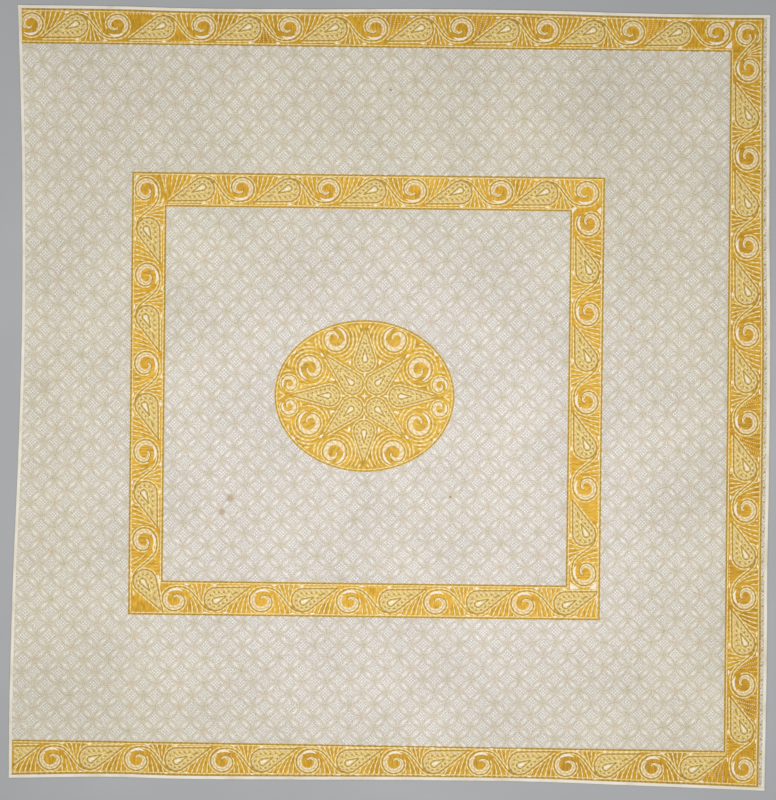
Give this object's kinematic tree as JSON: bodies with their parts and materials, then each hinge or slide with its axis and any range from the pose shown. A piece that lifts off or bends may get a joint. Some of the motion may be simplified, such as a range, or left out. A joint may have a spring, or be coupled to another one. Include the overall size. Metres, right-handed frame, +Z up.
{
  "type": "quilted bedspread",
  "caption": "Nearly square quilted cotton bedspread lying flat, with a yellow silk scroll border on three sides, an inner frame, an oval medallion and a white bound edge.",
  "frame": {"origin": "on the surface the cloth lies on, under the middle of its bounding box", "axes": "+X to the right of the cloth's face, +Y to its top edge, +Z up out of the face"},
  "size_m": [2.1952, 2.2562, 0.0042],
  "materials": {
    "quilted_cotton": "matt off-white cotton, quilted in overlapping rings with fine yellow thread",
    "yellow_silk": "golden yellow silk embroidery, slightly lustrous, with pale and olive lines",
    "edge_tape": "matt white cotton tape"
  },
  "bodies": {
    "root": {"quilted_cloth": "quilted_cotton", "worked_border": "yellow_silk", "worked_frame": "yellow_silk", "worked_medallion": "yellow_silk", "binding_top": "edge_tape", "binding_right": "edge_tape", "binding_bottom": "edge_tape", "binding_left": "edge_tape"}
  },
  "joints": []
}
